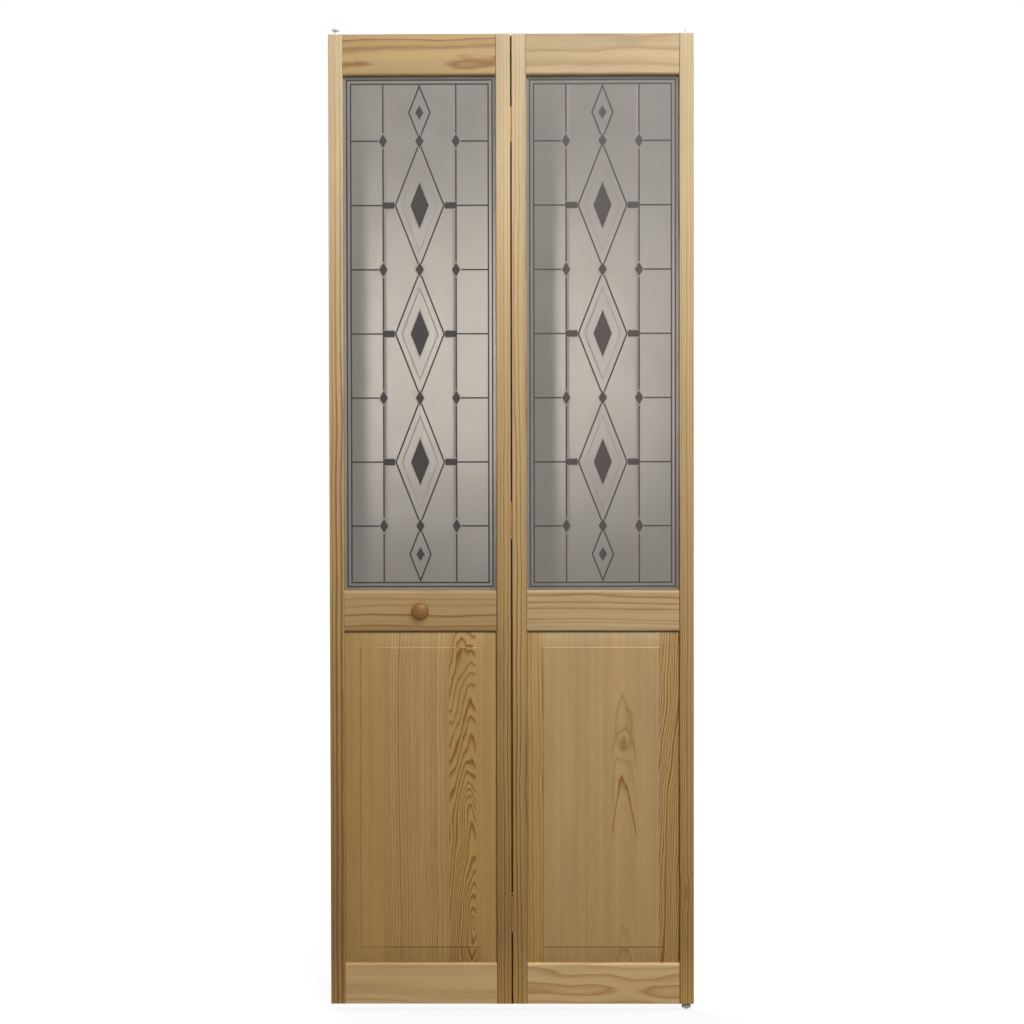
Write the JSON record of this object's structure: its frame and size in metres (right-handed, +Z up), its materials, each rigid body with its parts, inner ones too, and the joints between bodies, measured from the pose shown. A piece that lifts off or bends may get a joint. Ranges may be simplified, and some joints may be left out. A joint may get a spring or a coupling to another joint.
{
  "type": "bifold closet door",
  "caption": "Folding closet door of hinged pine leaves, frosted glass over raised panels, with a turned knob, jamb pivots and a track guide.",
  "frame": {"origin": "foot of the bottom pivot pin, on the swing axis at the jamb", "axes": "+Z up along the swing axis, the room side and the knob face -Y, the closed door runs along -X from the jamb"},
  "size_m": [0.75, 0.0653, 2.0268],
  "materials": {
    "pine": "clear satin finish on knotty pine",
    "knob_pine": "turned, satin",
    "frosted_glass": "frosted, with thin dark lines printed on the front",
    "printed_line": "printed on the glass",
    "gold_brass": "satin antique gold",
    "zinc_steel": "zinc plated",
    "white_nylon": "moulded"
  },
  "bodies": {
    "bottom_pivot": {"bottom_pivot_pin": "zinc_steel", "bottom_pivot_wheel": "white_nylon"},
    "pivot_leaf": {"pivot_outer_stile": "pine", "pivot_hinge_stile": "pine", "pivot_top_rail": "pine", "pivot_lock_rail": "pine", "pivot_bottom_rail": "pine", "pivot_panel": "pine", "pivot_glass": "frosted_glass", "pivot_stop_top": "pine", "pivot_stop_bottom": "pine", "pivot_stop_outer": "pine", "pivot_stop_hinge": "pine", "bottom_hinge_pivot_plate": "gold_brass", "middle_hinge_pivot_plate": "gold_brass", "top_hinge_pivot_plate": "gold_brass", "bottom_hinge_pin": "gold_brass", "middle_hinge_pin": "gold_brass", "top_hinge_pin": "gold_brass", "bottom_hinge_pivot_screw_upper": "gold_brass", "bottom_hinge_pivot_screw_lower": "gold_brass", "middle_hinge_pivot_screw_upper": "gold_brass", "middle_hinge_pivot_screw_lower": "gold_brass", "top_hinge_pivot_screw_upper": "gold_brass", "top_hinge_pivot_screw_lower": "gold_brass", "bottom_pivot_sleeve": "white_nylon", "top_pivot_sleeve": "white_nylon", "top_pivot_spring": "zinc_steel"},
    "lead_leaf": {"lead_outer_stile": "pine", "lead_hinge_stile": "pine", "lead_top_rail": "pine", "lead_lock_rail": "pine", "lead_bottom_rail": "pine", "lead_panel": "pine", "lead_glass": "frosted_glass", "lead_stop_top": "pine", "lead_stop_bottom": "pine", "lead_stop_outer": "pine", "lead_stop_hinge": "pine", "bottom_hinge_lead_plate": "gold_brass", "middle_hinge_lead_plate": "gold_brass", "top_hinge_lead_plate": "gold_brass", "bottom_hinge_lead_screw_upper": "gold_brass", "bottom_hinge_lead_screw_lower": "gold_brass", "middle_hinge_lead_screw_upper": "gold_brass", "middle_hinge_lead_screw_lower": "gold_brass", "top_hinge_lead_screw_upper": "gold_brass", "top_hinge_lead_screw_lower": "gold_brass", "knob": "knob_pine", "knob_screw": "zinc_steel", "guide_sleeve": "white_nylon", "guide_spring": "zinc_steel"},
    "top_pivot": {"top_pivot_pin": "white_nylon"},
    "guide": {"guide_pin": "white_nylon"},
    "guide_wheel": {"guide_wheel": "white_nylon"}
  },
  "joints": [
    {"name": "jamb_swing", "type": "hinge", "parent": "bottom_pivot", "child": "pivot_leaf", "pos_m": [0, 0, 0], "axis": [0, 0, 1], "range_deg": [0, 88]},
    {"name": "leaf_fold", "type": "hinge", "parent": "pivot_leaf", "child": "lead_leaf", "pos_m": [-0.36, 0.01825, 1.0125], "axis": [0, 0, -1], "range_deg": [0, 176]},
    {"name": "top_pivot_press", "type": "slide", "parent": "pivot_leaf", "child": "top_pivot", "axis": [0, 0, 1], "range_m": [-0.009, 0], "stiffness_N_per_m": 300, "springref_m": 0.012, "deforming": ["top_pivot_spring"]},
    {"name": "guide_press", "type": "slide", "parent": "lead_leaf", "child": "guide", "axis": [0, 0, 1], "range_m": [-0.006, 0], "stiffness_N_per_m": 300, "springref_m": 0.012, "deforming": ["guide_spring"]},
    {"name": "guide_wheel_spin", "type": "hinge", "parent": "guide", "child": "guide_wheel", "pos_m": [-0.72, 0, 2.0225], "axis": [0, 0, 1], "continuous": true}
  ],
  "couplings": [
    {"joint": "leaf_fold", "follows": "jamb_swing", "ratio": 2}
  ]
}
